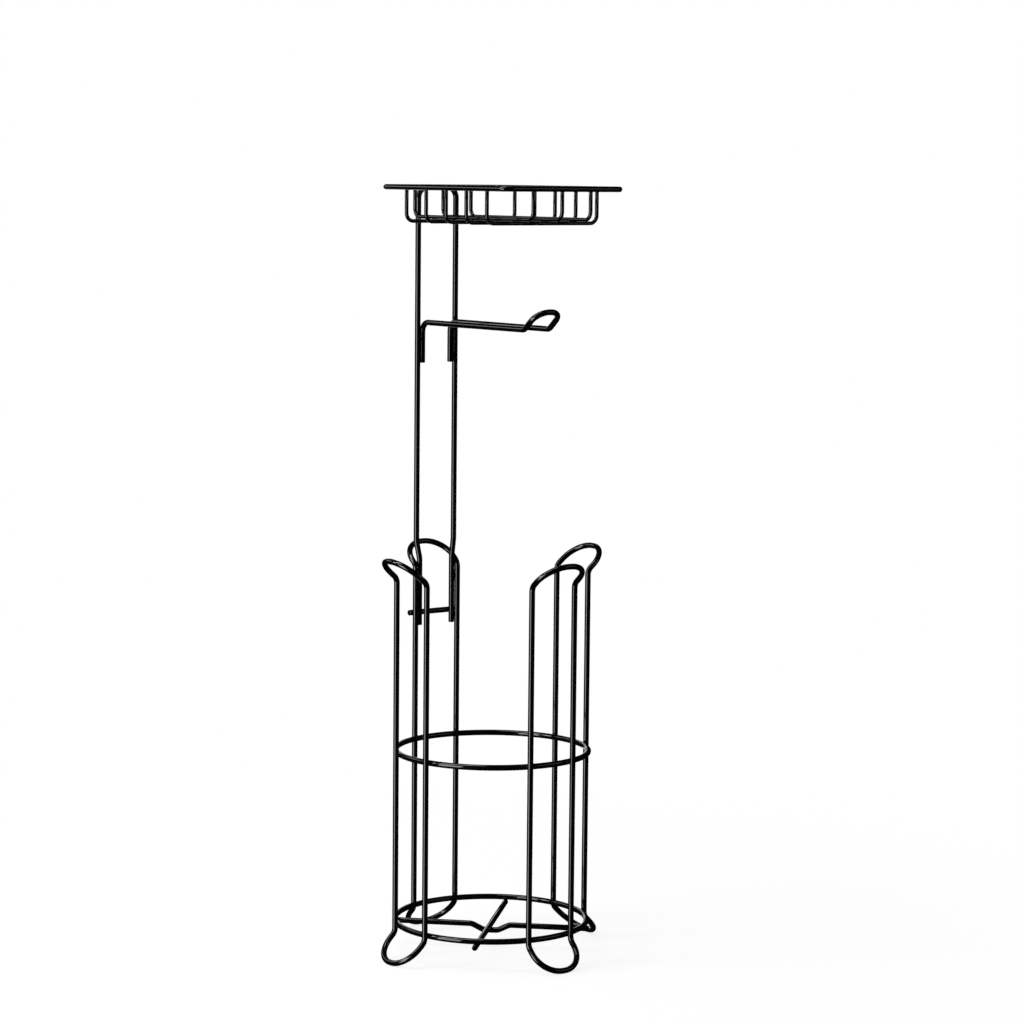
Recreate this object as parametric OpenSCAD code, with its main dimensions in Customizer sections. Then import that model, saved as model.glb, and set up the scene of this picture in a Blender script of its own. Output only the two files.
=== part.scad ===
// Free-standing toilet roll holder in coated round wire.
// A round cage stores spare rolls, a mast carries an arm for the roll in use, and a shallow basket tops it.
// Origin: on the floor, on the axis of the cage. The arm points to -Y and the mast stands at +Y.

/* [Wires] */
// Diameter of the coated wire in the cage, the mast and the arm
frame_wire_d = 4.8; // [3:0.1:6]
// Diameter of the wire in the basket's rim
rim_wire_d = 4.5; // [3:0.1:6]
// Diameter of the thin wires of the basket
basket_wire_d = 3.2; // [2:0.1:4]
// Gap left between two coated wires where a weld joins them
weld_gap = 0.05; // [0.02:0.01:0.2]
// Width of the bevel on a cut wire end
end_bevel = 0.7; // [0.2:0.1:1]

/* [Cage] */
// Diameter of both rings, measured on the wire's centreline
ring_d = 159.5; // [130:0.5:200]
// Height of the bottom ring's centreline
bottom_ring_z = 25; // [18:1:60]
// Height of the middle ring's centreline
middle_ring_z = 168; // [100:1:240]
// How far each floor wire runs past the centreline of the bottom ring
floor_wire_overhang = 3; // [2.5:0.5:8]
// Length of the level bottom of the dip where one floor wire passes under the other
dip_level = 12; // [10:1:30]
// Length of each ramp of the dip
dip_ramp = 10; // [9:1:30]
// Centreline radius of the dip's bends
dip_bend_r = 10; // [5:1:12]

/* [Loops] */
// Distance between the two legs of a loop, centre to centre
loop_leg_spacing = 42.8; // [34:0.2:60]
// Height of the corner where a loop's legs lean out at the top
loop_top_bend_z = 314.5; // [260:0.5:360]
// Lean of the top arc, away from the vertical
top_arc_lean = 50; // [40:1:65]
// Lean of the foot arc, away from the vertical
foot_arc_lean = 46; // [30:1:65]
// Straight length between a loop's bend and its arc
arc_straight = 3; // [1:0.5:15]
// Straight length across the end of each loop, between the arc's two halves
arc_flat = 2; // [1:0.5:10]
// Centreline radius of the bend between a loop's leg and its arc
loop_bend_r = 8; // [5:0.5:12]
// Depth of the flat worn on the underside of each foot
foot_flat = 0.15; // [0.05:0.05:0.4]

/* [Mast] */
// Distance between the mast's legs, centre to centre
mast_leg_spacing = 38.2; // [30:0.2:60]
// How far the mast's legs sit behind the rear loop's legs at their joint
mast_set_back = 1.5; // [0:0.1:3]
// How far the crank brings the mast's legs further back above the joint
mast_jog = 1.2; // [0:0.1:6]
// How far the mast's cut ends reach down below the bend of the rear loop
mast_overlap = 51; // [25:0.5:80]
// Height of the crank's lower corner above the bend of the rear loop
crank_rise = 6; // [2:0.5:80]
// Height of the crank itself
crank_h = 14.5; // [12:0.5:40]
// Centreline radius of the crank's two bends
crank_bend_r = 20; // [10:1:30]
// Centreline radius of the mast's top corners
mast_bend_r = 9; // [6:0.5:14]
// Height of the short cross wire above the mast's cut ends
rear_cross_rise = 10.3; // [4:0.1:20]
// How far the short cross wire runs past the centrelines of the rear loop's legs
rear_cross_overhang = 2.6; // [2:0.1:20]

/* [Arm] */
// Height of the arm's legs
arm_z = 519; // [460:1:560]
// Distance between the arm's legs, centre to centre
arm_leg_spacing = 24.8; // [18:0.2:28]
// Distance from the mast to the corner where the arm's tip turns up
arm_reach = 140.5; // [110:0.5:160]
// Rise of the arm's tip above the horizontal
arm_tip_angle = 40; // [20:1:70]
// Straight length between the arm's bend and its end loop
arm_tip_straight = 8; // [2:0.5:20]
// Straight length across the end of the arm, between the end loop's two halves
arm_tip_flat = 1.5; // [1:0.5:8]
// Centreline radius of the arm's bends
arm_bend_r = 8; // [5:0.5:12]
// Length of the arm's ends that turn down beside the mast's legs
arm_end_drop = 34; // [20:1:60]

/* [Basket] */
// Height of the rim's centreline
rim_z = 631.5; // [590:0.5:700]
// Width of the rim across the arm's direction, over the wire
rim_w = 122; // [100:1:180]
// Length of the rim along the arm's direction, over the wire
rim_l = 176; // [140:1:240]
// Centreline radius of the rim's corners
rim_corner_r = 8; // [4:0.5:20]
// Depth from the rim's centreline to the centreline of the lowest wires
basket_depth = 27.6; // [20:0.1:60]
// Centreline radius of the lower corners of the basket's wires
basket_bend_r = 6.5; // [4:0.5:12]
// How far the ends of the basket's wires stand above the rim's centreline
basket_wire_rise = 1; // [0:0.1:1.5]
// Distance from the rim's front to the front one of the wires across the basket
cross_wire_front_inset = 29.8; // [22:0.1:40]
// Distance from the rim's back to the back one of the wires across the basket
cross_wire_back_inset = 30; // [22:0.1:40]
// Distance from the rim's sides to the outer wires along the basket
long_wire_side_inset = 30.3; // [22:0.1:40]

/* [Hidden] */
$fn = 48;

// Cage: the loops' legs touch the rings from outside
leg_x = loop_leg_spacing / 2;
leg_y = sqrt(pow(ring_d / 2 + frame_wire_d + weld_gap, 2) - pow(leg_x, 2));
arc_r = leg_x - arc_flat / 2;
top_tip = loop_bend_r * tan(top_arc_lean / 2) + arc_straight + arc_r;
foot_tip = loop_bend_r * tan(foot_arc_lean / 2) + arc_straight + arc_r;
foot_tip_z = frame_wire_d / 2 - foot_flat;
loop_foot_bend_z = foot_tip_z + foot_tip * cos(foot_arc_lean);
floor_wire_z = bottom_ring_z - frame_wire_d - weld_gap;
floor_wire_half = ring_d / 2 + floor_wire_overhang;

// Mast: its ends stand between the rear loop's legs
mast_x = mast_leg_spacing / 2;
mast_end_x = leg_x - frame_wire_d - weld_gap;
mast_end_y = leg_y + mast_set_back;
mast_end_z = loop_top_bend_z - mast_overlap;
mast_y = mast_end_y + mast_jog;
crank_low_z = loop_top_bend_z + crank_rise;
crank_top_z = crank_low_z + crank_h;
mast_top_z = rim_z - (frame_wire_d - rim_wire_d) / 2;
rear_cross_y = mast_end_y + frame_wire_d + weld_gap;
rear_cross_z = mast_end_z + rear_cross_rise;
rear_cross_half = leg_x + rear_cross_overhang;

// Arm: its ends stand between the mast's legs
arm_x = arm_leg_spacing / 2;
arm_end_x = mast_x - frame_wire_d - weld_gap;
arm_bend_y = mast_y - arm_reach;
arm_tip_r = arm_x - arm_tip_flat / 2;
arm_tip = arm_bend_r * tan(arm_tip_angle / 2) + arm_tip_straight + arm_tip_r;
arm_tip_y = arm_bend_y - arm_tip * cos(arm_tip_angle);
arm_tip_z = arm_z + arm_tip * sin(arm_tip_angle);

// Basket: the rim's back lies against the mast, and the thin wires stand inside the rim
rim_x = (rim_w - rim_wire_d) / 2;
rim_back_y = mast_y - (frame_wire_d + rim_wire_d) / 2 - weld_gap;
rim_front_y = rim_back_y - (rim_l - rim_wire_d);
inside_rim = (rim_wire_d + basket_wire_d) / 2 + weld_gap;
cross_wire_x = rim_x - inside_rim;
long_wire_front_y = rim_front_y + inside_rim;
long_wire_back_y = rim_back_y - inside_rim;
cross_wire_z = rim_z - basket_depth;
long_wire_z = cross_wire_z + basket_wire_d + weld_gap;
basket_wire_top_z = rim_z + basket_wire_rise;
cross_wire_count = 5;
cross_wire_front_y = rim_front_y + cross_wire_front_inset;
cross_wire_pitch = (rim_back_y - cross_wire_back_inset - cross_wire_front_y) / (cross_wire_count - 1);
long_wire_pitch = rim_x - long_wire_side_inset;

// How far a straight stretch runs into a bend, and how far the bend's surface stands outside it
bend_overlap = 0.4;
bend_swell = 0.03;
// Side of the block that levels the feet
level_block = 400;
coat = [0.07, 0.07, 0.075];

function unit(v) = v / norm(v);
function any_square_to(v) = unit(abs(v.z) < 0.9 * norm(v) ? cross([0, 0, 1], v) : cross([1, 0, 0], v));
function frame(x, y, z, o) = [
  [x.x, y.x, z.x, o.x],
  [x.y, y.y, z.y, o.y],
  [x.z, y.z, z.z, o.z],
  [0, 0, 0, 1]
];
function turn(u, v) = acos(max(-1, min(1, u * v)));

// Straight wire from one point to another, with bevels of these widths at its two ends
module rod(from, to, d, bevels) {
  z = unit(to - from);
  x = any_square_to(z);
  length = norm(to - from);
  outline = [
    [0, 0],
    [d / 2 - bevels[0], 0],
    if (bevels[0] > 0) [d / 2, bevels[0]],
    if (bevels[1] > 0) [d / 2, length - bevels[1]],
    [d / 2 - bevels[1], length],
    [0, length]
  ];
  multmatrix(frame(x, cross(z, x), z, from)) rotate_extrude() polygon(outline);
}

// Bend of a wire that arrives along u, leaves along v and would meet at the corner
module bend(corner, u, v, r, d) {
  angle = turn(u, v);
  start = corner - u * r * tan(angle / 2);
  side = unit(v - u * (u * v));
  multmatrix(frame(-side, u, cross(-side, u), start + side * r))
    rotate_extrude(angle = angle) translate([r, 0]) circle(d = d + 2 * bend_swell);
}

// Round wire through a list of corners, each with its own centreline radius.
// The straight stretches run a little way into the bends, which are a hair thicker.
module bent_wire(corners, radii, d, closed = false) {
  n = len(corners);
  last = closed ? n - 1 : n - 2;
  runs = [for (i = [0 : last]) unit(corners[(i + 1) % n] - corners[i])];
  cut = [for (i = [0 : n - 1]) !closed && (i == 0 || i == n - 1)];
  trims = [
    for (i = [0 : n - 1])
      cut[i] ? 0 : radii[i] * tan(turn(runs[(i + n - 1) % n], runs[i]) / 2) - bend_overlap
  ];
  for (i = [0 : last]) {
    next = (i + 1) % n;
    bevels = [cut[i] ? end_bevel : 0, cut[next] ? end_bevel : 0];
    rod(corners[i] + runs[i] * trims[i], corners[next] - runs[i] * trims[next], d, bevels);
  }
  for (i = [0 : n - 1]) {
    if (!cut[i]) bend(corners[i], runs[(i + n - 1) % n], runs[i], radii[i], d);
  }
}

// Closed hairpin loop of the cage, turned to its side of the ring
module loop(side) {
  top_y = -leg_y - top_tip * sin(top_arc_lean);
  top_z = loop_top_bend_z + top_tip * cos(top_arc_lean);
  foot_y = -leg_y - foot_tip * sin(foot_arc_lean);
  corners = [
    [-leg_x, -leg_y, loop_top_bend_z],
    [-leg_x, top_y, top_z],
    [leg_x, top_y, top_z],
    [leg_x, -leg_y, loop_top_bend_z],
    [leg_x, -leg_y, loop_foot_bend_z],
    [leg_x, foot_y, foot_tip_z],
    [-leg_x, foot_y, foot_tip_z],
    [-leg_x, -leg_y, loop_foot_bend_z]
  ];
  radii = [loop_bend_r, arc_r, arc_r, loop_bend_r, loop_bend_r, arc_r, arc_r, loop_bend_r];
  color(coat) rotate([0, 0, side]) difference() {
    bent_wire(corners, radii, frame_wire_d, closed = true);
    translate([-level_block / 2, -level_block, -level_block]) cube(level_block);
  }
}

// Ring of the cage at a height
module ring(z) {
  color(coat) translate([0, 0, z]) rotate_extrude() translate([ring_d / 2, 0]) circle(d = frame_wire_d);
}

// Straight floor wire
module floor_wire_a() {
  corners = [[-floor_wire_half, 0, floor_wire_z], [floor_wire_half, 0, floor_wire_z]];
  color(coat) rotate([0, 0, 45]) bent_wire(corners, [0, 0], frame_wire_d);
}

// Floor wire that dips under the other one
module floor_wire_b() {
  low_z = floor_wire_z - frame_wire_d - weld_gap;
  ramp_x = dip_level / 2 + dip_ramp;
  corners = [
    [-floor_wire_half, 0, floor_wire_z],
    [-ramp_x, 0, floor_wire_z],
    [-dip_level / 2, 0, low_z],
    [dip_level / 2, 0, low_z],
    [ramp_x, 0, floor_wire_z],
    [floor_wire_half, 0, floor_wire_z]
  ];
  color(coat) rotate([0, 0, -45])
    bent_wire(corners, [0, dip_bend_r, dip_bend_r, dip_bend_r, dip_bend_r, 0], frame_wire_d);
}

// Short wire across the joint of mast and rear loop
module rear_cross_wire() {
  corners = [[-rear_cross_half, rear_cross_y, rear_cross_z], [rear_cross_half, rear_cross_y, rear_cross_z]];
  color(coat) bent_wire(corners, [0, 0], frame_wire_d);
}

// Mast: one long hairpin with a crank above its cut ends
module mast() {
  corners = [
    [-mast_end_x, mast_end_y, mast_end_z],
    [-mast_end_x, mast_end_y, crank_low_z],
    [-mast_x, mast_y, crank_top_z],
    [-mast_x, mast_y, mast_top_z],
    [mast_x, mast_y, mast_top_z],
    [mast_x, mast_y, crank_top_z],
    [mast_end_x, mast_end_y, crank_low_z],
    [mast_end_x, mast_end_y, mast_end_z]
  ];
  radii = [0, crank_bend_r, crank_bend_r, mast_bend_r, mast_bend_r, crank_bend_r, crank_bend_r, 0];
  color(coat) bent_wire(corners, radii, frame_wire_d);
}

// Arm for the roll in use: a hairpin with an upturned end loop
module roll_arm() {
  corners = [
    [-arm_end_x, mast_y, arm_z - arm_end_drop],
    [-arm_end_x, mast_y, arm_z],
    [-arm_x, arm_bend_y, arm_z],
    [-arm_x, arm_tip_y, arm_tip_z],
    [arm_x, arm_tip_y, arm_tip_z],
    [arm_x, arm_bend_y, arm_z],
    [arm_end_x, mast_y, arm_z],
    [arm_end_x, mast_y, arm_z - arm_end_drop]
  ];
  radii = [0, arm_bend_r, arm_bend_r, arm_tip_r, arm_tip_r, arm_bend_r, arm_bend_r, 0];
  color(coat) bent_wire(corners, radii, frame_wire_d);
}

// Rim of the basket
module basket_rim() {
  corners = [
    [rim_x, rim_back_y, rim_z],
    [-rim_x, rim_back_y, rim_z],
    [-rim_x, rim_front_y, rim_z],
    [rim_x, rim_front_y, rim_z]
  ];
  color(coat) bent_wire(corners, [for (i = [0 : 3]) rim_corner_r], rim_wire_d, closed = true);
}

// U-shaped wire across the basket, counted from the front
module basket_cross_wire(count) {
  y = cross_wire_front_y + (count - 1) * cross_wire_pitch;
  corners = [
    [-cross_wire_x, y, basket_wire_top_z],
    [-cross_wire_x, y, cross_wire_z],
    [cross_wire_x, y, cross_wire_z],
    [cross_wire_x, y, basket_wire_top_z]
  ];
  color(coat) bent_wire(corners, [0, basket_bend_r, basket_bend_r, 0], basket_wire_d);
}

// U-shaped wire along the basket, counted from the left
module basket_long_wire(count) {
  x = (count - 2) * long_wire_pitch;
  corners = [
    [x, long_wire_front_y, basket_wire_top_z],
    [x, long_wire_front_y, long_wire_z],
    [x, long_wire_back_y, long_wire_z],
    [x, long_wire_back_y, basket_wire_top_z]
  ];
  color(coat) bent_wire(corners, [0, basket_bend_r, basket_bend_r, 0], basket_wire_d);
}

loop(0);  // loop_front
loop(270);  // loop_left
loop(90);  // loop_right
loop(180);  // loop_rear
ring(middle_ring_z);  // ring_middle
ring(bottom_ring_z);  // ring_bottom
floor_wire_a();
floor_wire_b();
rear_cross_wire();
mast();
roll_arm();
basket_rim();
basket_cross_wire(1);  // basket_cross_wire_1
basket_cross_wire(2);  // basket_cross_wire_2
basket_cross_wire(3);  // basket_cross_wire_3
basket_cross_wire(4);  // basket_cross_wire_4
basket_cross_wire(5);  // basket_cross_wire_5
basket_long_wire(1);  // basket_long_wire_1
basket_long_wire(2);  // basket_long_wire_2
basket_long_wire(3);  // basket_long_wire_3
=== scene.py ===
"""Looks of a free-standing toilet roll holder in gloss black coated wire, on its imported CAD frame.

Every wire of the frame is drawn again by one Geometry Nodes tree, along the centreline that the CAD
gives it, so that its bends run smoothly, its cut ends are rounded by the coating and its butt welds
show. A second tree sets the weld beads where the wires meet. The holder's sizes are millimetres up
to the meshes, which are metres, and the studio's are metres. The floor is at Z 0, the arm points to
-Y and the mast stands at +Y.
"""

import math

import bpy
from mathutils import Matrix, Vector


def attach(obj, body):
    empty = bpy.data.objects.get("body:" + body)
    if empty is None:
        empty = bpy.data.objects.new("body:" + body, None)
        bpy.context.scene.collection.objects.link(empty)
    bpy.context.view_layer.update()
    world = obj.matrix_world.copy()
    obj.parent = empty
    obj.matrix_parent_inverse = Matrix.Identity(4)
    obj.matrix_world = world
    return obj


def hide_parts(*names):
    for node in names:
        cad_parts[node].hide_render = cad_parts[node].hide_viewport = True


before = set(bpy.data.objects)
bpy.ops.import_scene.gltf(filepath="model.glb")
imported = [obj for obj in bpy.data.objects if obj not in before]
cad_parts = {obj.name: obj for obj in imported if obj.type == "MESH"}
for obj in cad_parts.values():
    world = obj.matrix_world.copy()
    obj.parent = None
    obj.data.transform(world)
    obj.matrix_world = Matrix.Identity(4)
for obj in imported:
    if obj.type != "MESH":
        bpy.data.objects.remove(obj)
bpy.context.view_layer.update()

MM = 0.001
BODY = "root"

# Wires
FRAME_WIRE_D = 4.8
RIM_WIRE_D = 4.5
BASKET_WIRE_D = 3.2
WELD_GAP = 0.05

# Cage
RING_R = 79.75
BOTTOM_RING_Z = 25.0
MIDDLE_RING_Z = 168.0
FLOOR_WIRE_OVERHANG = 3.0
DIP_LEVEL = 12.0
DIP_RAMP = 10.0
DIP_BEND_R = 10.0

# Loops
LEG_X = 21.4
LOOP_TOP_BEND_Z = 314.5
TOP_ARC_LEAN = math.radians(50)
FOOT_ARC_LEAN = math.radians(46)
ARC_STRAIGHT = 3.0
ARC_FLAT = 2.0
LOOP_BEND_R = 8.0
FOOT_FLAT = 0.15

# Mast
MAST_X = 19.1
MAST_SET_BACK = 1.5
MAST_JOG = 1.2
MAST_OVERLAP = 51.0
CRANK_RISE = 6.0
CRANK_H = 14.5
CRANK_BEND_R = 20.0
MAST_BEND_R = 9.0
REAR_CROSS_RISE = 10.3
REAR_CROSS_OVERHANG = 2.6

# Arm
ARM_Z = 519.0
ARM_X = 12.4
ARM_REACH = 140.5
ARM_TIP_RISE = math.radians(40)
ARM_TIP_STRAIGHT = 8.0
ARM_TIP_FLAT = 1.5
ARM_BEND_R = 8.0
ARM_END_DROP = 34.0

# Basket
RIM_Z = 631.5
RIM_W = 122.0
RIM_L = 176.0
RIM_CORNER_R = 8.0
BASKET_DEPTH = 27.6
BASKET_BEND_R = 6.5
BASKET_WIRE_RISE = 1.0
CROSS_WIRE_COUNT = 5
CROSS_WIRE_FRONT_INSET = 29.8
CROSS_WIRE_BACK_INSET = 30.0
LONG_WIRE_SIDE_INSET = 30.3

# What follows from them
LEG_Y = math.sqrt((RING_R + FRAME_WIRE_D + WELD_GAP) ** 2 - LEG_X**2)
ARC_R = LEG_X - ARC_FLAT / 2
TOP_TIP = LOOP_BEND_R * math.tan(TOP_ARC_LEAN / 2) + ARC_STRAIGHT + ARC_R
FOOT_TIP = LOOP_BEND_R * math.tan(FOOT_ARC_LEAN / 2) + ARC_STRAIGHT + ARC_R
FOOT_TIP_Z = FRAME_WIRE_D / 2 - FOOT_FLAT
LOOP_FOOT_BEND_Z = FOOT_TIP_Z + FOOT_TIP * math.cos(FOOT_ARC_LEAN)
FLOOR_WIRE_Z = BOTTOM_RING_Z - FRAME_WIRE_D - WELD_GAP
FLOOR_WIRE_HALF = RING_R + FLOOR_WIRE_OVERHANG
MAST_END_X = LEG_X - FRAME_WIRE_D - WELD_GAP
MAST_END_Y = LEG_Y + MAST_SET_BACK
MAST_END_Z = LOOP_TOP_BEND_Z - MAST_OVERLAP
MAST_Y = MAST_END_Y + MAST_JOG
CRANK_LOW_Z = LOOP_TOP_BEND_Z + CRANK_RISE
CRANK_TOP_Z = CRANK_LOW_Z + CRANK_H
MAST_TOP_Z = RIM_Z - (FRAME_WIRE_D - RIM_WIRE_D) / 2
REAR_CROSS_Y = MAST_END_Y + FRAME_WIRE_D + WELD_GAP
REAR_CROSS_Z = MAST_END_Z + REAR_CROSS_RISE
REAR_CROSS_HALF = LEG_X + REAR_CROSS_OVERHANG
ARM_END_X = MAST_X - FRAME_WIRE_D - WELD_GAP
ARM_BEND_Y = MAST_Y - ARM_REACH
ARM_TIP_R = ARM_X - ARM_TIP_FLAT / 2
ARM_TIP = ARM_BEND_R * math.tan(ARM_TIP_RISE / 2) + ARM_TIP_STRAIGHT + ARM_TIP_R
ARM_TIP_Y = ARM_BEND_Y - ARM_TIP * math.cos(ARM_TIP_RISE)
ARM_TIP_Z = ARM_Z + ARM_TIP * math.sin(ARM_TIP_RISE)
RIM_X = (RIM_W - RIM_WIRE_D) / 2
RIM_BACK_Y = MAST_Y - (FRAME_WIRE_D + RIM_WIRE_D) / 2 - WELD_GAP
RIM_FRONT_Y = RIM_BACK_Y - (RIM_L - RIM_WIRE_D)
INSIDE_RIM = (RIM_WIRE_D + BASKET_WIRE_D) / 2 + WELD_GAP
CROSS_WIRE_X = RIM_X - INSIDE_RIM
LONG_WIRE_FRONT_Y = RIM_FRONT_Y + INSIDE_RIM
LONG_WIRE_BACK_Y = RIM_BACK_Y - INSIDE_RIM
CROSS_WIRE_Z = RIM_Z - BASKET_DEPTH
LONG_WIRE_Z = CROSS_WIRE_Z + BASKET_WIRE_D + WELD_GAP
BASKET_WIRE_TOP_Z = RIM_Z + BASKET_WIRE_RISE
CROSS_WIRE_FRONT_Y = RIM_FRONT_Y + CROSS_WIRE_FRONT_INSET
CROSS_WIRE_BACK_Y = RIM_BACK_Y - CROSS_WIRE_BACK_INSET
CROSS_WIRE_PITCH = (CROSS_WIRE_BACK_Y - CROSS_WIRE_FRONT_Y) / (CROSS_WIRE_COUNT - 1)
LONG_WIRE_PITCH = RIM_X - LONG_WIRE_SIDE_INSET
CROSS_WIRE_YS = [CROSS_WIRE_FRONT_Y + k * CROSS_WIRE_PITCH for k in range(CROSS_WIRE_COUNT)]
LONG_WIRE_XS = [-LONG_WIRE_PITCH, 0.0, LONG_WIRE_PITCH]

X_AXIS, Y_AXIS, Z_AXIS = Vector((1, 0, 0)), Vector((0, 1, 0)), Vector((0, 0, 1))
HANDS = (-1, 1)  # the left and the right one of a pair


# Node trees


class TreeMaker:
    """Adds nodes to a tree. A value that is a socket is linked, and any other is typed in."""

    def __init__(self, tree):
        self.tree = tree

    def node(self, kind, inputs=None, **settings):
        made = self.tree.nodes.new(kind)
        for name, value in settings.items():
            setattr(made, name, value)
        for key, value in (inputs or {}).items():
            self.feed(made.inputs[key], value)
        return made

    def feed(self, socket, value):
        if isinstance(value, bpy.types.NodeSocket):
            self.tree.links.new(value, socket)
        else:
            socket.default_value = value

    def math(self, operation, *values, clamp=False):
        made = self.tree.nodes.new("ShaderNodeMath")
        made.operation = operation
        made.use_clamp = clamp
        for socket, value in zip(made.inputs, values):
            self.feed(socket, value)
        return made.outputs[0]

    def attribute(self, name, kind):
        made = self.node("GeometryNodeInputNamedAttribute", {"Name": name}, data_type=kind)
        return made.outputs["Attribute"]

    def painted_geometry(self, geometry, coating):
        """Ends a Geometry Nodes tree with its geometry shaded smooth and coated."""
        smooth = self.node(
            "GeometryNodeSetShadeSmooth", {"Geometry": geometry, "Shade Smooth": True}
        )
        painted = self.node(
            "GeometryNodeSetMaterial", {"Geometry": smooth.outputs[0], "Material": coating}
        )
        self.node("NodeGroupOutput", {0: painted.outputs[0]})

    def mixed(self, share, first, second):
        """A shader that is the second one in this share, and the first in the rest."""
        given = {0: share, 1: first.outputs[0], 2: second.outputs[0]}
        return self.node("ShaderNodeMixShader", given)


def geometry_tree(name, inputs):
    """A Geometry Nodes tree with these inputs after its geometry, and the maker that fills it."""
    tree = bpy.data.node_groups.new(name, "GeometryNodeTree")
    tree.is_modifier = True
    tree.interface.new_socket("Geometry", in_out="INPUT", socket_type="NodeSocketGeometry")
    for label, kind in inputs:
        tree.interface.new_socket(label, in_out="INPUT", socket_type=kind)
    tree.interface.new_socket("Geometry", in_out="OUTPUT", socket_type="NodeSocketGeometry")
    return tree, TreeMaker(tree)


def through_tree(skeleton, tree, values):
    """The plain mesh that the tree makes of a skeleton, which is then gone."""
    modifier = skeleton.modifiers.new(tree.name, "NODES")
    modifier.node_group = tree
    for item in tree.interface.items_tree:
        if item.in_out == "INPUT" and item.name in values:
            modifier[item.identifier] = values[item.name]
    bpy.context.view_layer.update()
    evaluated = skeleton.evaluated_get(bpy.context.evaluated_depsgraph_get())
    mesh = bpy.data.meshes.new_from_object(evaluated)
    bpy.data.objects.remove(skeleton)
    return mesh


def linked_object(name, mesh):
    made = bpy.data.objects.new(name, mesh)
    bpy.context.scene.collection.objects.link(made)
    return made


def dressed_piece(name, mesh, nodes=()):
    """A finished piece of the holder, in place of the CAD nodes that it stands for."""
    piece = linked_object(name, mesh)
    mesh.name = name
    if nodes:
        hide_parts(*nodes)
    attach(piece, BODY)
    return piece


# Coated wires. A station is a place along a wire: a share of the rounding from its end, or mm from
# a butt weld's middle.
BEND_STEPS = 20
WIRE_SIDES = 28
END_ROUNDING = 0.7
END_STATIONS = (0.0, 0.06, 0.18, 0.36, 0.62, 1.0)
NO_FLOOR = -1.0
BUTT_WELD_HEIGHT = 0.025
BUTT_WELD_WIDTH = 0.8
BUTT_WELD_STATIONS = (-2.2, -1.6, -1.1, -0.7, -0.35, 0.0, 0.35, 0.7, 1.1, 1.6, 2.2)
LOOP_BUTT_WELD_RISE = 60.0
RIM_BUTT_WELD_INSET = 54.0
RING_BUTT_WELD_ANGLE = math.radians(118)
RING_STEPS = 180
RING_STEP_MARGIN = 0.01


def coated_wire_tree():
    """Sweeps a wire along a line of corners with bend radii, and rounds the wire's cut ends."""
    tree, make = geometry_tree(
        "coated_wire_along_path",
        [
            ("Wire Diameter", "NodeSocketFloat"),
            ("Bend Steps", "NodeSocketInt"),
            ("Wire Sides", "NodeSocketInt"),
            ("End Rounding", "NodeSocketFloat"),
            ("Cut Ends", "NodeSocketBool"),
            ("Floor Height", "NodeSocketFloat"),
            ("Coating", "NodeSocketMaterial"),
        ],
    )
    given = make.node("NodeGroupInput").outputs
    line = make.node("GeometryNodeMeshToCurve", {"Mesh": given["Geometry"]})
    bent = make.node(
        "GeometryNodeFilletCurve",
        {
            "Curve": line.outputs[0],
            "Count": given["Bend Steps"],
            "Radius": make.attribute("bend_radius", "FLOAT"),
            "Limit Radius": False,
        },
        mode="POLY",
    )
    run = make.node("GeometryNodeSplineParameter").outputs["Length"]
    whole = make.node("GeometryNodeSplineLength").outputs["Length"]
    radius = make.math("MULTIPLY", given["Wire Diameter"], 0.5)
    to_end = make.math("MINIMUM", run, make.math("SUBTRACT", whole, run))
    into_rounding = make.math("DIVIDE", to_end, given["End Rounding"], clamp=True)
    short = make.math("SUBTRACT", 1.0, into_rounding)
    height = make.math("SQRT", make.math("SUBTRACT", 1.0, make.math("POWER", short, 2.0)))
    lost = make.math("SUBTRACT", 1.0, height)
    rounding_share = make.math("DIVIDE", given["End Rounding"], radius)
    end_scale = make.math("SUBTRACT", 1.0, make.math("MULTIPLY", lost, rounding_share))
    chosen = make.node(
        "GeometryNodeSwitch",
        {"Switch": given["Cut Ends"], "False": 1.0, "True": end_scale},
        input_type="FLOAT",
    )
    swell = make.math("DIVIDE", make.attribute("weld_swell", "FLOAT"), radius)
    section = make.node(
        "GeometryNodeCurvePrimitiveCircle", {"Resolution": given["Wire Sides"], "Radius": radius}
    )
    tube = make.node(
        "GeometryNodeCurveToMesh",
        {
            "Curve": bent.outputs[0],
            "Profile Curve": section.outputs["Curve"],
            "Scale": make.math("ADD", chosen.outputs[0], swell),
            "Fill Caps": True,
        },
    )
    place = make.node("GeometryNodeInputPosition").outputs[0]
    x, y, z = make.node("ShaderNodeSeparateXYZ", {0: place}).outputs
    on_floor = make.math("MAXIMUM", z, given["Floor Height"])
    levelled = make.node("ShaderNodeCombineXYZ", {0: x, 1: y, 2: on_floor})
    standing = make.node(
        "GeometryNodeSetPosition", {"Geometry": tube.outputs[0], "Position": levelled.outputs[0]}
    )
    make.painted_geometry(standing.outputs[0], given["Coating"])
    return tree


def swell_at(distance):
    """How far the coating stands up over a butt weld, this far along the wire from its middle."""
    return BUTT_WELD_HEIGHT * math.exp(-((distance / BUTT_WELD_WIDTH) ** 2))


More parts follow.
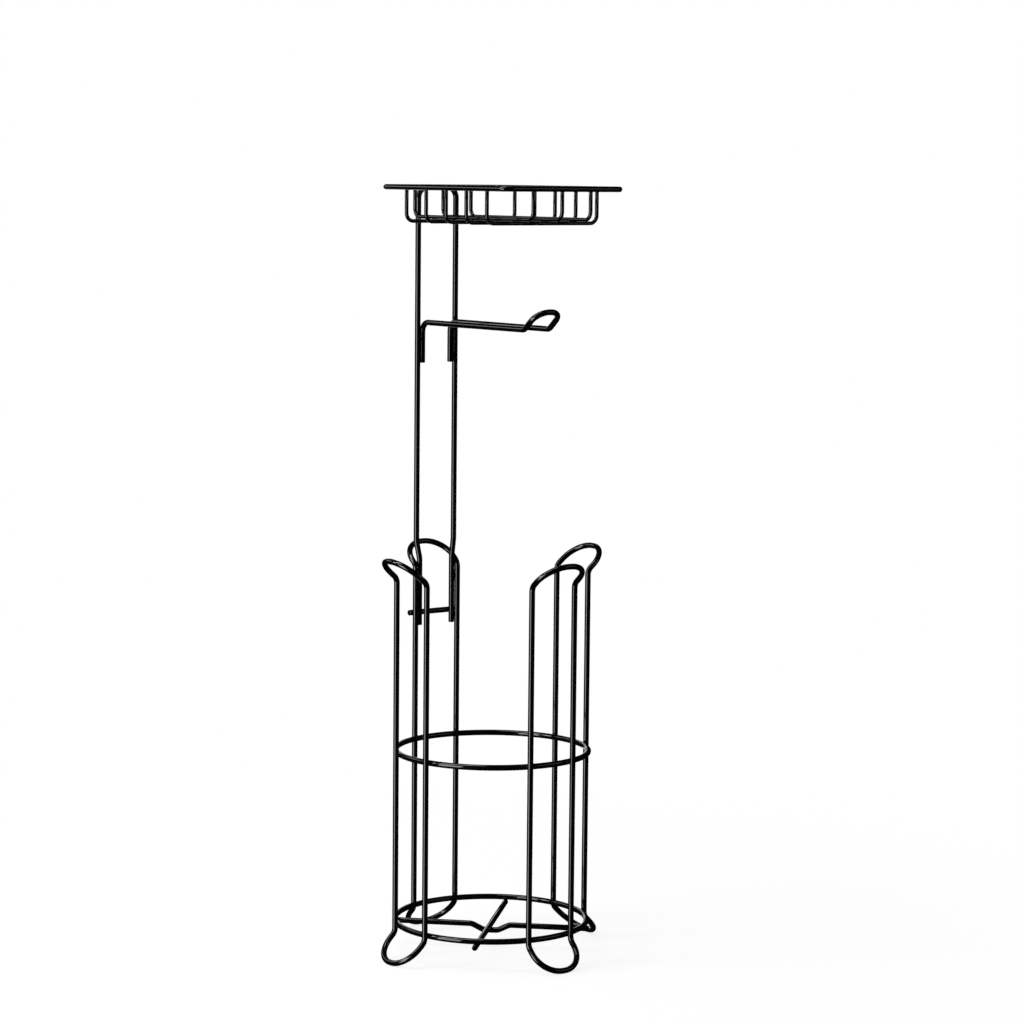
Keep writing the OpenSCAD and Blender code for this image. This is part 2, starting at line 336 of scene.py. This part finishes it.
def wire_skeleton(corners, radii, closed, butt_weld):
    """An object of points and edges along a wire's corners, with bend radii and weld swells.

    butt_weld is (number of the corner before it, distance from there) on a closed wire, or None."""
    points = []
    count = len(corners)
    for i, (corner, radius) in enumerate(zip(corners, radii)):
        here = Vector(corner)
        if not closed and i in (0, count - 1):
            inward = (Vector(corners[1 if i == 0 else count - 2]) - here).normalized()
            stations = END_STATIONS if i == 0 else reversed(END_STATIONS)
            points += [(here + inward * (s * END_ROUNDING), 0.0, 0.0) for s in stations]
        else:
            points.append((here, radius, 0.0))
        if butt_weld and butt_weld[0] == i:
            onward = (Vector(corners[(i + 1) % count]) - here).normalized()
            for s in BUTT_WELD_STATIONS:
                points.append((here + onward * (butt_weld[1] + s), 0.0, swell_at(s)))
    return skeleton_of("wire_skeleton", points, closed)


def skeleton_of(name, points, closed):
    mesh = bpy.data.meshes.new(name)
    edges = [(i, i + 1) for i in range(len(points) - 1)]
    if closed:
        edges.append((len(points) - 1, 0))
    mesh.from_pydata([place * MM for place, _, _ in points], edges, [])
    for attribute, column in (("bend_radius", 1), ("weld_swell", 2)):
        values = [point[column] * MM for point in points]
        mesh.attributes.new(attribute, "FLOAT", "POINT").data.foreach_set("value", values)
    return linked_object(name, mesh)


def coated_wire(
    node, tree, coating, corners, radii, diameter, closed=False, butt_weld=None, floor=NO_FLOOR
):
    skeleton = wire_skeleton(corners, radii, closed, butt_weld)
    return swept_wire(node, tree, coating, skeleton, diameter, not closed, floor)


def swept_wire(node, tree, coating, skeleton, diameter, cut_ends, floor=NO_FLOOR):
    values = {
        "Wire Diameter": diameter * MM,
        "Bend Steps": BEND_STEPS,
        "Wire Sides": WIRE_SIDES,
        "End Rounding": END_ROUNDING * MM,
        "Cut Ends": cut_ends,
        "Floor Height": floor,
        "Coating": coating,
    }
    return dressed_piece("coated_" + node, through_tree(skeleton, tree, values), [node])


def turned(corners, degrees):
    """Corners turned about the cage's axis."""
    turn = Matrix.Rotation(math.radians(degrees), 3, "Z")
    return [turn @ Vector(c) for c in corners]


def mirrored(corners):
    """The right half of a hairpin from its left half, in the order in which the wire runs on."""
    return [(-x, y, z) for x, y, z in reversed(corners)]


def make_loops(tree, coating):
    top_y = -LEG_Y - TOP_TIP * math.sin(TOP_ARC_LEAN)
    top_z = LOOP_TOP_BEND_Z + TOP_TIP * math.cos(TOP_ARC_LEAN)
    foot_y = -LEG_Y - FOOT_TIP * math.sin(FOOT_ARC_LEAN)
    corners = [
        (-LEG_X, -LEG_Y, LOOP_TOP_BEND_Z),
        (-LEG_X, top_y, top_z),
        (LEG_X, top_y, top_z),
        (LEG_X, -LEG_Y, LOOP_TOP_BEND_Z),
        (LEG_X, -LEG_Y, LOOP_FOOT_BEND_Z),
        (LEG_X, foot_y, FOOT_TIP_Z),
        (-LEG_X, foot_y, FOOT_TIP_Z),
        (-LEG_X, -LEG_Y, LOOP_FOOT_BEND_Z),
    ]
    radii = [LOOP_BEND_R, ARC_R, ARC_R, LOOP_BEND_R] * 2
    left_foot_corner = len(corners) - 1
    for name, side in (("front", 0), ("left", 270), ("right", 90), ("rear", 180)):
        coated_wire(
            "loop_" + name,
            tree,
            coating,
            turned(corners, side),
            radii,
            FRAME_WIRE_D,
            closed=True,
            butt_weld=(left_foot_corner, LOOP_BUTT_WELD_RISE),
            floor=0.0,
        )


def make_rings(tree, coating):
    steps = [2 * math.pi * k / RING_STEPS for k in range(RING_STEPS)]
    close = [RING_BUTT_WELD_ANGLE + s / RING_R for s in BUTT_WELD_STATIONS]
    first, last = close[0] - RING_STEP_MARGIN, close[-1] + RING_STEP_MARGIN
    angles = sorted([a for a in steps if not first < a < last] + close)
    for node, z in (("ring_middle", MIDDLE_RING_Z), ("ring_bottom", BOTTOM_RING_Z)):
        points = []
        for a in angles:
            place = Vector((RING_R * math.cos(a), RING_R * math.sin(a), z))
            points.append((place, 0.0, swell_at((a - RING_BUTT_WELD_ANGLE) * RING_R)))
        skeleton = skeleton_of("ring_skeleton", points, True)
        swept_wire(node, tree, coating, skeleton, FRAME_WIRE_D, False)


def make_floor_wires(tree, coating):
    ends = [(-FLOOR_WIRE_HALF, 0, FLOOR_WIRE_Z), (FLOOR_WIRE_HALF, 0, FLOOR_WIRE_Z)]
    coated_wire("floor_wire_a", tree, coating, turned(ends, 45), [0, 0], FRAME_WIRE_D)
    low_z = FLOOR_WIRE_Z - FRAME_WIRE_D - WELD_GAP
    left = [(-DIP_LEVEL / 2 - DIP_RAMP, 0, FLOOR_WIRE_Z), (-DIP_LEVEL / 2, 0, low_z)]
    corners = turned([ends[0], *left, *mirrored(left), ends[1]], -45)
    coated_wire("floor_wire_b", tree, coating, corners, [0, *[DIP_BEND_R] * 4, 0], FRAME_WIRE_D)


def make_mast_and_arm(tree, coating):
    cross = [(x, REAR_CROSS_Y, REAR_CROSS_Z) for x in (-REAR_CROSS_HALF, REAR_CROSS_HALF)]
    coated_wire("rear_cross_wire", tree, coating, cross, [0, 0], FRAME_WIRE_D)
    left = [
        (-MAST_END_X, MAST_END_Y, MAST_END_Z),
        (-MAST_END_X, MAST_END_Y, CRANK_LOW_Z),
        (-MAST_X, MAST_Y, CRANK_TOP_Z),
        (-MAST_X, MAST_Y, MAST_TOP_Z),
    ]
    half = [0, CRANK_BEND_R, CRANK_BEND_R, MAST_BEND_R]
    coated_wire("mast", tree, coating, left + mirrored(left), half + half[::-1], FRAME_WIRE_D)
    left = [
        (-ARM_END_X, MAST_Y, ARM_Z - ARM_END_DROP),
        (-ARM_END_X, MAST_Y, ARM_Z),
        (-ARM_X, ARM_BEND_Y, ARM_Z),
        (-ARM_X, ARM_TIP_Y, ARM_TIP_Z),
    ]
    half = [0, ARM_BEND_R, ARM_BEND_R, ARM_TIP_R]
    coated_wire("roll_arm", tree, coating, left + mirrored(left), half + half[::-1], FRAME_WIRE_D)


def make_basket(tree, coating):
    rim = [
        (RIM_X, RIM_BACK_Y, RIM_Z),
        (-RIM_X, RIM_BACK_Y, RIM_Z),
        (-RIM_X, RIM_FRONT_Y, RIM_Z),
        (RIM_X, RIM_FRONT_Y, RIM_Z),
    ]
    front_left_corner = 2
    coated_wire(
        "basket_rim",
        tree,
        coating,
        rim,
        [RIM_CORNER_R] * 4,
        RIM_WIRE_D,
        closed=True,
        butt_weld=(front_left_corner, RIM_BUTT_WELD_INSET),
    )
    bends = [0, BASKET_BEND_R, BASKET_BEND_R, 0]
    for count, y in enumerate(CROSS_WIRE_YS, 1):
        left = [(-CROSS_WIRE_X, y, BASKET_WIRE_TOP_Z), (-CROSS_WIRE_X, y, CROSS_WIRE_Z)]
        across = left + mirrored(left)
        coated_wire(f"basket_cross_wire_{count}", tree, coating, across, bends, BASKET_WIRE_D)
    for count, x in enumerate(LONG_WIRE_XS, 1):
        along = [
            (x, LONG_WIRE_FRONT_Y, BASKET_WIRE_TOP_Z),
            (x, LONG_WIRE_FRONT_Y, LONG_WIRE_Z),
            (x, LONG_WIRE_BACK_Y, LONG_WIRE_Z),
            (x, LONG_WIRE_BACK_Y, BASKET_WIRE_TOP_Z),
        ]
        coated_wire(f"basket_long_wire_{count}", tree, coating, along, bends, BASKET_WIRE_D)


# Weld beads. A bead is round, where wires cross, and a seam is long, where they lie side by side.
BEAD_SIDES = 28
BEAD_LAYERS = 7
BEAD_SINK = 0.12
BEAD_WAIST = 0.68
SEAM_WAIST = 0.8
BEAD_SIZE_SPREAD = 0.12
CAGE_BEAD_D = 3.5
BASKET_BEAD_D = 2.3
RIM_BEAD_D = 2.5
MAST_SEAM_L, MAST_SEAM_W = 11.0, 3.2
ARM_SEAM_L, ARM_SEAM_W = 10.0, 3.2
RIM_SEAM_L, RIM_SEAM_W = 9.0, 2.8
MAST_SEAM_ABOVE_END = 7.0
MAST_SEAM_BELOW_BEND = 11.0
ARM_SEAM_INSET = 6.0


def bead_mesh(name, upper_d, lower_d, gap, length, width, waist, parallel):
    """A weld bead between two wires, in mm: Z points at the upper wire, which runs along X, as the
    lower one does where they are parallel. The bead is as long and wide as given where it meets the
    wires, and waist times that half way between them."""
    verts, faces = [], []
    for layer in range(-BEAD_LAYERS, BEAD_LAYERS + 1):
        t = layer / BEAD_LAYERS
        spread = 1 - (1 - waist) * math.sqrt(1 - t * t)
        wire_r = (upper_d if t > 0 else lower_d) / 2
        for step in range(BEAD_SIDES):
            angle = 2 * math.pi * step / BEAD_SIDES
            x = spread * length / 2 * math.cos(angle)
            y = spread * width / 2 * math.sin(angle)
            off_axis = y if t > 0 or parallel else x
            surface = gap / 2 + wire_r - math.sqrt(wire_r**2 - off_axis**2)
            verts.append((x * MM, y * MM, t * (surface + BEAD_SINK) * MM))
    layers = 2 * BEAD_LAYERS + 1
    for layer in range(layers - 1):
        for step in range(BEAD_SIDES):
            a = layer * BEAD_SIDES + step
            b = layer * BEAD_SIDES + (step + 1) % BEAD_SIDES
            faces.append((a, b, b + BEAD_SIDES, a + BEAD_SIDES))
    faces.append(tuple(reversed(range(BEAD_SIDES))))
    faces.append(tuple(range((layers - 1) * BEAD_SIDES, layers * BEAD_SIDES)))
    mesh = bpy.data.meshes.new(name)
    mesh.from_pydata(verts, [], faces)
    return mesh


def weld_bead_tree():
    """Sets a bead on every point, turned to the wires there and a little larger or smaller."""
    tree, make = geometry_tree(
        "weld_beads_at_points",
        [
            ("Bead", "NodeSocketObject"),
            ("Size Spread", "NodeSocketFloat"),
            ("Seed", "NodeSocketInt"),
            ("Coating", "NodeSocketMaterial"),
        ],
    )
    given = make.node("NodeGroupInput").outputs
    bead = make.node("GeometryNodeObjectInfo", {"Object": given["Bead"], "As Instance": True})
    turn = make.node(
        "FunctionNodeAxesToRotation",
        {
            "Primary Axis": make.attribute("to_upper_wire", "FLOAT_VECTOR"),
            "Secondary Axis": make.attribute("along_upper_wire", "FLOAT_VECTOR"),
        },
        primary_axis="Z",
        secondary_axis="X",
    )
    smallest = make.math("SUBTRACT", 1.0, given["Size Spread"])
    largest = make.math("ADD", 1.0, given["Size Spread"])
    size = make.node(
        "FunctionNodeRandomValue",
        {2: smallest, 3: largest, "Seed": given["Seed"]},
        data_type="FLOAT",
    )
    scale = make.node("ShaderNodeCombineXYZ", {0: size.outputs[1], 1: size.outputs[1], 2: 1.0})
    beads = make.node(
        "GeometryNodeInstanceOnPoints",
        {
            "Points": given["Geometry"],
            "Instance": bead.outputs["Geometry"],
            "Rotation": turn.outputs[0],
            "Scale": scale.outputs[0],
        },
    )
    real = make.node("GeometryNodeRealizeInstances", {"Geometry": beads.outputs[0]})
    make.painted_geometry(real.outputs[0], given["Coating"])
    return tree


def weld_beads(piece, tree, coating, bead, welds, seed):
    """One piece with a bead at each weld, a (place, way to the upper wire, way along it)."""
    mesh = bpy.data.meshes.new("weld_points")
    mesh.from_pydata([Vector(place) * MM for place, _, _ in welds], [], [])
    for name, column in (("to_upper_wire", 1), ("along_upper_wire", 2)):
        flat = [c for weld in welds for c in Vector(weld[column]).normalized()]
        mesh.attributes.new(name, "FLOAT_VECTOR", "POINT").data.foreach_set("vector", flat)
    prototype = linked_object("weld_bead_prototype", bead)
    values = {
        "Bead": prototype,
        "Size Spread": BEAD_SIZE_SPREAD,
        "Seed": seed,
        "Coating": coating,
    }
    made = through_tree(linked_object("weld_points", mesh), tree, values)
    bpy.data.objects.remove(prototype)
    return dressed_piece(piece, made)


def cage_welds():
    """Where the loops' legs meet the rings, and the floor wires the bottom ring and each other."""
    welds = []
    leg = Vector((LEG_X, LEG_Y, 0)).normalized()
    contact = RING_R + (FRAME_WIRE_D + WELD_GAP) / 2
    for side in range(4):
        for hand in HANDS:
            outward = Matrix.Rotation(math.pi / 2 * side, 3, "Z") @ Vector((hand * leg.x, leg.y, 0))
            for z in (BOTTOM_RING_Z, MIDDLE_RING_Z):
                welds.append((outward * contact + Z_AXIS * z, outward, Z_AXIS))
    for corner in range(4):
        outward = Matrix.Rotation(math.pi / 4 + math.pi / 2 * corner, 3, "Z") @ X_AXIS
        contact_z = (BOTTOM_RING_Z + FLOOR_WIRE_Z) / 2
        welds.append((outward * RING_R + Z_AXIS * contact_z, Z_AXIS, outward.cross(Z_AXIS)))
    crossing = Z_AXIS * (FLOOR_WIRE_Z - (FRAME_WIRE_D + WELD_GAP) / 2)
    welds.append((crossing, Z_AXIS, Vector((1, 1, 0))))
    for hand in HANDS:
        place = (hand * MAST_END_X, (MAST_END_Y + REAR_CROSS_Y) / 2, REAR_CROSS_Z)
        welds.append((place, Y_AXIS, X_AXIS))
    return welds


def basket_wire_welds():
    """Where the thin wires cross each other under the basket."""
    z = (CROSS_WIRE_Z + LONG_WIRE_Z) / 2
    return [((x, y, z), Z_AXIS, Y_AXIS) for x in LONG_WIRE_XS for y in CROSS_WIRE_YS]


def rim_welds():
    """Where the thin wires' ends stand inside the rim."""
    inset = (RIM_WIRE_D + WELD_GAP) / 2
    sides = [
        ((hand * (RIM_X - inset), y, RIM_Z), X_AXIS * hand, Y_AXIS)
        for y in CROSS_WIRE_YS
        for hand in HANDS
    ]
    ends = [((x, RIM_FRONT_Y + inset, RIM_Z), -Y_AXIS, X_AXIS) for x in LONG_WIRE_XS]
    ends += [((x, RIM_BACK_Y - inset, RIM_Z), Y_AXIS, X_AXIS) for x in LONG_WIRE_XS]
    return sides + ends


def mast_leg_offset():
    """From the mast's end on the +X side to the rear loop's leg beside it."""
    return Vector((LEG_X - MAST_END_X, LEG_Y - MAST_END_Y, 0))


def mast_welds():
    """Where the mast's ends lie beside the rear loop's legs."""
    offset = mast_leg_offset()
    welds = []
    for hand in HANDS:
        to_leg = Vector((hand * offset.x, offset.y, 0))
        middle = Vector((hand * MAST_END_X, MAST_END_Y, 0)) + to_leg / 2
        for z in (MAST_END_Z + MAST_SEAM_ABOVE_END, LOOP_TOP_BEND_Z - MAST_SEAM_BELOW_BEND):
            welds.append((middle + Z_AXIS * z, to_leg, Z_AXIS))
    return welds


def arm_welds():
    """Where the arm's down-turned ends lie beside the mast's legs."""
    return [
        ((hand * (MAST_X + ARM_END_X) / 2, MAST_Y, ARM_Z - drop), X_AXIS * hand, Z_AXIS)
        for hand in HANDS
        for drop in (ARM_BEND_R + ARM_SEAM_INSET, ARM_END_DROP - ARM_SEAM_INSET)
    ]


def mast_top_welds():
    """Where the mast's top bar lies behind the rim."""
    y = RIM_BACK_Y + (RIM_WIRE_D + WELD_GAP) / 2
    return [((hand * MAST_X / 3, y, RIM_Z), -Y_AXIS, X_AXIS) for hand in HANDS]


def make_welds(coating):
    """Each row has a piece's name, its wires' diameters, the gap between them, the bead's length and
    width, the welds and the seed of their sizes."""
    tree = weld_bead_tree()
    frame_d, rim_d, thin_d = FRAME_WIRE_D, RIM_WIRE_D, BASKET_WIRE_D
    mast_gap = mast_leg_offset().length - FRAME_WIRE_D
    cage, basket, rim = (CAGE_BEAD_D,) * 2, (BASKET_BEAD_D,) * 2, (RIM_BEAD_D,) * 2
    mast, arm, top = (MAST_SEAM_L, MAST_SEAM_W), (ARM_SEAM_L, ARM_SEAM_W), (RIM_SEAM_L, RIM_SEAM_W)
    beads = [
        ("weld_beads_cage", frame_d, frame_d, WELD_GAP, cage, cage_welds(), 3),
        ("weld_beads_basket", thin_d, thin_d, WELD_GAP, basket, basket_wire_welds(), 5),
        ("weld_beads_rim", rim_d, thin_d, WELD_GAP, rim, rim_welds(), 7),
    ]
    seams = [
        ("weld_seams_mast", frame_d, frame_d, mast_gap, mast, mast_welds(), 11),
        ("weld_seams_arm", frame_d, frame_d, WELD_GAP, arm, arm_welds(), 13),
        ("weld_seams_rim", rim_d, frame_d, WELD_GAP, top, mast_top_welds(), 17),
    ]
    for rows, waist, parallel in ((beads, BEAD_WAIST, False), (seams, SEAM_WAIST, True)):
        for piece, upper_d, lower_d, gap, size, welds, seed in rows:
            bead = bead_mesh("weld_bead", upper_d, lower_d, gap, *size, waist, parallel)
            weld_beads(piece, tree, coating, bead, welds, seed)


# Materials. Noise scales are per metre, so patches are about 7 mm across and the peel about 1 mm.
PATCHES_SCALE = 140.0
PEEL_SCALE = 900.0
GRAIN_SCALE = 5200.0
GRAIN_SHARE = 0.15
RELIEF_STRENGTH = 0.008
RELIEF_DEPTH = 0.00012
THICK_COAT = {"place": 0.35, "colour": (0.0018, 0.0018, 0.002, 1)}
THIN_COAT = {"place": 0.7, "colour": (0.004, 0.004, 0.0043, 1)}
GLOSSY_ROUGHNESS = 0.07
DULLER_ROUGHNESS = 0.11
COATING_IOR = 1.5
COATING_SPECULAR = 1.0
SCUFF_FULL_Z = 0.0002
SCUFF_TOP_Z = 0.0012
SCUFF_PEEL = 0.45
SCUFF_COVER = 0.6
SCUFF_ROUGHNESS = 0.3
SCUFF_COLOUR = (0.06, 0.058, 0.055, 1)
WHITE = (1, 1, 1, 1)


def new_material(name):
    material = bpy.data.materials.new(name)
    material.use_nodes = True
    material.node_tree.nodes.clear()
    return material, TreeMaker(material.node_tree)


def gloss_black_coating():
    """Black coating on steel wire: near-black and glossy, with a faint orange peel, soft patches
    where it lies thinner and duller, and scuffed feet."""
    material, make = new_material("gloss_black_coating")
    place = make.node("ShaderNodeTexCoord").outputs["Object"]

    def noise(scale, detail, roughness):
        given = {"Vector": place, "Scale": scale, "Detail": detail, "Roughness": roughness}
        return make.node("ShaderNodeTexNoise", given).outputs[0]

    patches = noise(PATCHES_SCALE, 4.0, 0.55)
    peel = noise(PEEL_SCALE, 2.0, 0.5)
    grain = noise(GRAIN_SCALE, 1.0, 0.5)
    height = make.node("ShaderNodeSeparateXYZ", {0: place}).outputs[2]
    near_floor = make.node(
        "ShaderNodeMapRange",
        {
            "Value": height,
            "From Min": SCUFF_FULL_Z,
            "From Max": SCUFF_TOP_Z,
            "To Min": 1.0,
            "To Max": 0.0,
        },
        interpolation_type="SMOOTHSTEP",
    )
    high_spots = make.math("GREATER_THAN", peel, SCUFF_PEEL)
    scuff = make.math("MULTIPLY", near_floor.outputs[0], high_spots)
    shade = make.node("ShaderNodeValToRGB", {"Fac": patches})
    for stop, coat in zip(shade.color_ramp.elements, (THICK_COAT, THIN_COAT)):
        stop.position, stop.color = coat["place"], coat["colour"]
    worn = make.node(
        "ShaderNodeMix",
        {
            "Factor": make.math("MULTIPLY", scuff, SCUFF_COVER),
            "A": shade.outputs["Color"],
            "B": SCUFF_COLOUR,
        },
        data_type="RGBA",
    )
    dull = make.node(
        "ShaderNodeMapRange",
        {
            "Value": patches,
            "From Min": 0.3,
            "From Max": 0.7,
            "To Min": GLOSSY_ROUGHNESS,
            "To Max": DULLER_ROUGHNESS,
        },
    )
    scuff_roughness = make.math("MULTIPLY", scuff, SCUFF_ROUGHNESS)
    relief = make.math("ADD", peel, make.math("MULTIPLY", grain, GRAIN_SHARE))
    bump = make.node(
        "ShaderNodeBump",
        {"Height": relief, "Strength": RELIEF_STRENGTH, "Distance": RELIEF_DEPTH},
    )
    paint = make.node(
        "ShaderNodeBsdfPrincipled",
        {
            "Base Color": worn.outputs["Result"],
            "Roughness": make.math("ADD", dull.outputs[0], scuff_roughness, clamp=True),
            "Normal": bump.outputs[0],
            "IOR": COATING_IOR,
            "Specular IOR Level": COATING_SPECULAR,
        },
    )
    make.node("ShaderNodeOutputMaterial", {"Surface": paint.outputs[0]})
    return material


def seen_directly(make):
    """1 for rays from the camera and for those that a glossy or clear surface sends on, else 0."""
    path = make.node("ShaderNodeLightPath").outputs
    mirrored_ray = make.math("MAXIMUM", path["Is Glossy Ray"], path["Is Transmission Ray"])
    return make.math("MAXIMUM", path["Is Camera Ray"], mirrored_ray)


# Studio
CAMERA_AZIMUTH = math.radians(-36.1246)
CAMERA_DISTANCE = 2.55185
CAMERA_HEIGHT = 0.64538
CAMERA_PITCH = math.radians(6.2389)
CAMERA_ROLL = math.radians(0.5427)
CAMERA_YAW = math.radians(-0.3293)
CAMERA_FOCAL_PIXELS = 3119.78
PICTURE_PIXELS = 1024
SENSOR_MM = 36.0
CLIP_NEAR, CLIP_FAR = 0.05, 60.0

WORLD_LIGHT = 0.3
WHITE_BACKGROUND = 1.0
FLOOR_RADIUS = 1.6
FLOOR_SIDES = 96
FLOOR_FADE_START, FLOOR_FADE_END = 0.22, 0.7
FLOOR_PAPER = (0.8, 0.8, 0.8, 1)
FLOOR_LIT_PART = (0.35, 0.35, 0.35, 1)
FLOOR_OWN_WHITE = 0.8

# Each lamp's name, degrees to the left of the camera, distance, height, width, length, brightness,
# and the height on the cage's axis that it faces
SOFTBOXES = [
    ("key_softbox", 48, 1.6, 0.17, 0.8, 1.15, 3.6, 0.17),
    ("upper_softbox", 78, 1.55, 0.92, 0.35, 0.36, 8.0, 0.63),
    ("left_strip", 110, 1.6, 1.0, 0.9, 0.45, 1.3, 1.0),
    ("right_strip", -72, 2.2, 0.95, 1.4, 0.4, 0.7, 0.95),
    ("rear_strip", 165, 1.7, 0.37, 0.5, 1.45, 1.1, 0.37),
    ("overhead_softbox", 70, 1.0, 2.1, 0.3, 1.9, 6.0, 0.4),
]
STUDIO_DISTANCE = 2.8
STUDIO_LOW, STUDIO_HIGH = -0.8, 2.6
STUDIO_WINDOW_DEGREES = 6
STUDIO_HALF_COLUMNS = 24
BLACK_CLOTH = (0.004, 0.004, 0.004, 1)


def make_camera():
    """The photograph's camera, as fitted to the wires in it."""
    data = bpy.data.cameras.new("photo_camera")
    data.sensor_width = SENSOR_MM
    data.lens = CAMERA_FOCAL_PIXELS * SENSOR_MM / PICTURE_PIXELS
    data.clip_start, data.clip_end = CLIP_NEAR, CLIP_FAR
    camera = bpy.data.objects.new("photo_camera", data)
    bpy.context.scene.collection.objects.link(camera)
    towards = Vector((-math.sin(CAMERA_AZIMUTH), math.cos(CAMERA_AZIMUTH), 0))
    forward = Matrix.Rotation(CAMERA_YAW, 3, "Z") @ towards
    right = Vector((forward.y, -forward.x, 0))
    look = forward * math.cos(CAMERA_PITCH) - Z_AXIS * math.sin(CAMERA_PITCH)
    down = -(Z_AXIS * math.cos(CAMERA_PITCH) + forward * math.sin(CAMERA_PITCH))
    rolled_right = right * math.cos(CAMERA_ROLL) - down * math.sin(CAMERA_ROLL)
    rolled_down = right * math.sin(CAMERA_ROLL) + down * math.cos(CAMERA_ROLL)
    place = -towards * CAMERA_DISTANCE + Z_AXIS * CAMERA_HEIGHT
    axes = Matrix((rolled_right, -rolled_down, -look)).transposed().to_4x4()
    camera.matrix_world = Matrix.Translation(place) @ axes
    bpy.context.scene.camera = camera


def round_from_camera(degrees, distance, height):
    """A point at this angle to the left of the camera, seen from the holder."""
    angle = CAMERA_AZIMUTH - math.radians(degrees)
    return Vector((math.sin(angle), -math.cos(angle), 0)) * distance + Z_AXIS * height


def softbox(name, degrees, distance, height, width, length, glow, aim_height):
    """A soft rectangular lamp that faces the holder. glow is its brightness, where 1 is white."""
    data = bpy.data.lights.new(name, "AREA")
    data.shape = "RECTANGLE"
    data.size, data.size_y = width, length
    data.energy = glow * math.pi * width * length
    lamp = bpy.data.objects.new(name, data)
    bpy.context.scene.collection.objects.link(lamp)
    lamp.location = round_from_camera(degrees, distance, height)
    facing = Z_AXIS * aim_height - lamp.location
    lamp.rotation_euler = facing.to_track_quat("-Z", "Y").to_euler()
    lamp.visible_camera = False


def make_dark_studio():
    """The studio's black walls, ceiling and ground, which only the gloss of the wires sees. Behind
    the holder, as the camera sees it, a window is left open to the white backdrop."""
    half_turn = 180 - STUDIO_WINDOW_DEGREES / 2
    half = STUDIO_HALF_COLUMNS
    columns = [
        round_from_camera(half_turn * k / half, STUDIO_DISTANCE, 0) for k in range(-half, half + 1)
    ]
    verts = [c + Z_AXIS * z for c in columns for z in (STUDIO_LOW, STUDIO_HIGH)]
    last = len(columns) - 1
    faces = [(2 * k, 2 * k + 1, 2 * k + 3, 2 * k + 2) for k in range(last)]
    faces += [tuple(range(0, 2 * last + 2, 2)), tuple(range(1, 2 * last + 2, 2))]
    mesh = bpy.data.meshes.new("dark_studio")
    mesh.from_pydata(verts, [], faces)
    material, make = new_material("black_cloth")
    cloth = make.node("ShaderNodeBsdfDiffuse", {"Color": BLACK_CLOTH})
    make.node("ShaderNodeOutputMaterial", {"Surface": cloth.outputs[0]})
    mesh.materials.append(material)
    walls = linked_object("dark_studio", mesh)
    walls.visible_camera = walls.visible_diffuse = False
    walls.visible_shadow = walls.visible_transmission = False


def make_floor():
    """A round white floor that keeps the holder's shadow and fades into the white round it."""
    mesh = bpy.data.meshes.new("studio_floor")
    angles = [2 * math.pi * k / FLOOR_SIDES for k in range(FLOOR_SIDES)]
    edge = [Vector((math.cos(a), math.sin(a), 0)) * FLOOR_RADIUS for a in angles]
    mesh.from_pydata(edge, [], [tuple(range(FLOOR_SIDES))])
    material, make = new_material("white_studio_floor")
    place = make.node("ShaderNodeTexCoord").outputs["Object"]
    far = make.node("ShaderNodeVectorMath", {0: place}, operation="LENGTH").outputs["Value"]
    fade = make.node(
        "ShaderNodeMapRange",
        {
            "Value": far,
            "From Min": FLOOR_FADE_START,
            "From Max": FLOOR_FADE_END,
            "To Min": 0.0,
            "To Max": 1.0,
        },
        interpolation_type="SMOOTHSTEP",
    )
    paper = make.node("ShaderNodeBsdfDiffuse", {"Color": FLOOR_PAPER})
    lit = make.node("ShaderNodeBsdfDiffuse", {"Color": FLOOR_LIT_PART})
    white = make.node("ShaderNodeEmission", {"Color": WHITE, "Strength": FLOOR_OWN_WHITE})
    clear = make.node("ShaderNodeBsdfTransparent")
    shadowed = make.node("ShaderNodeAddShader", {0: lit.outputs[0], 1: white.outputs[0]})
    faded = make.mixed(fade.outputs[0], shadowed, clear)
    shown = make.mixed(seen_directly(make), paper, faded)
    under = make.node("ShaderNodeNewGeometry").outputs["Backfacing"]
    from_above = make.mixed(under, shown, clear)
    make.node("ShaderNodeOutputMaterial", {"Surface": from_above.outputs[0]})
    mesh.materials.append(material)
    floor = linked_object("studio_floor", mesh)
    floor.visible_glossy = False


def make_world():
    """White all round to the eye, and a plain grey light on the holder."""
    world = bpy.data.worlds.new("white_studio")
    world.use_nodes = True
    world.node_tree.nodes.clear()
    make = TreeMaker(world.node_tree)
    light = make.node("ShaderNodeBackground", {"Color": WHITE, "Strength": WORLD_LIGHT})
    white = make.node("ShaderNodeBackground", {"Color": WHITE, "Strength": WHITE_BACKGROUND})
    both = make.mixed(seen_directly(make), light, white)
    make.node("ShaderNodeOutputWorld", {"Surface": both.outputs[0]})
    bpy.context.scene.world = world


def make_studio():
    make_camera()
    make_world()
    make_floor()
    for lamp in SOFTBOXES:
        softbox(*lamp)
    make_dark_studio()
    bpy.context.scene.view_settings.view_transform = "Standard"


def make_holder():
    coating = gloss_black_coating()
    tree = coated_wire_tree()
    make_loops(tree, coating)
    make_rings(tree, coating)
    make_floor_wires(tree, coating)
    make_mast_and_arm(tree, coating)
    make_basket(tree, coating)
    make_welds(coating)


make_studio()
make_holder()
